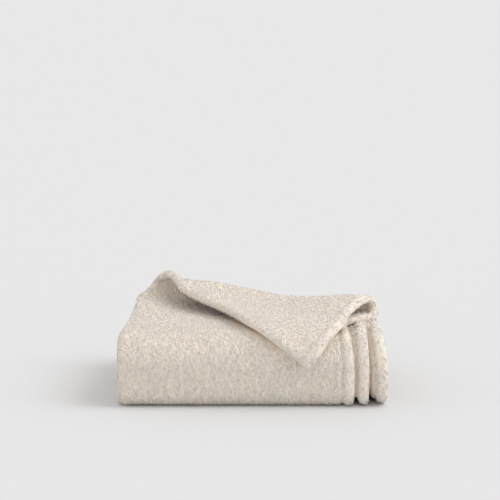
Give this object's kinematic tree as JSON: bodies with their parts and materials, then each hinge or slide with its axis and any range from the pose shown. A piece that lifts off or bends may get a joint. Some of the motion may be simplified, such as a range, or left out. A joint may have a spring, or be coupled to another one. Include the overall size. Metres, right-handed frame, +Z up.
{
  "type": "folded baby blanket",
  "caption": "Cream plush boucle knit baby blanket, folded into a soft bundle with one top corner turned over to the front.",
  "frame": {"origin": "centre of the bundle's outline, on the surface that it rests on", "axes": "+Z up, +X along the bundle's length towards its free hems, +Y from the smooth front face to the back"},
  "size_m": [0.3816, 0.2854, 0.1499],
  "materials": {
    "boucle_knit": "matte"
  },
  "bodies": {
    "root": {"blanket": "boucle_knit"}
  },
  "joints": []
}
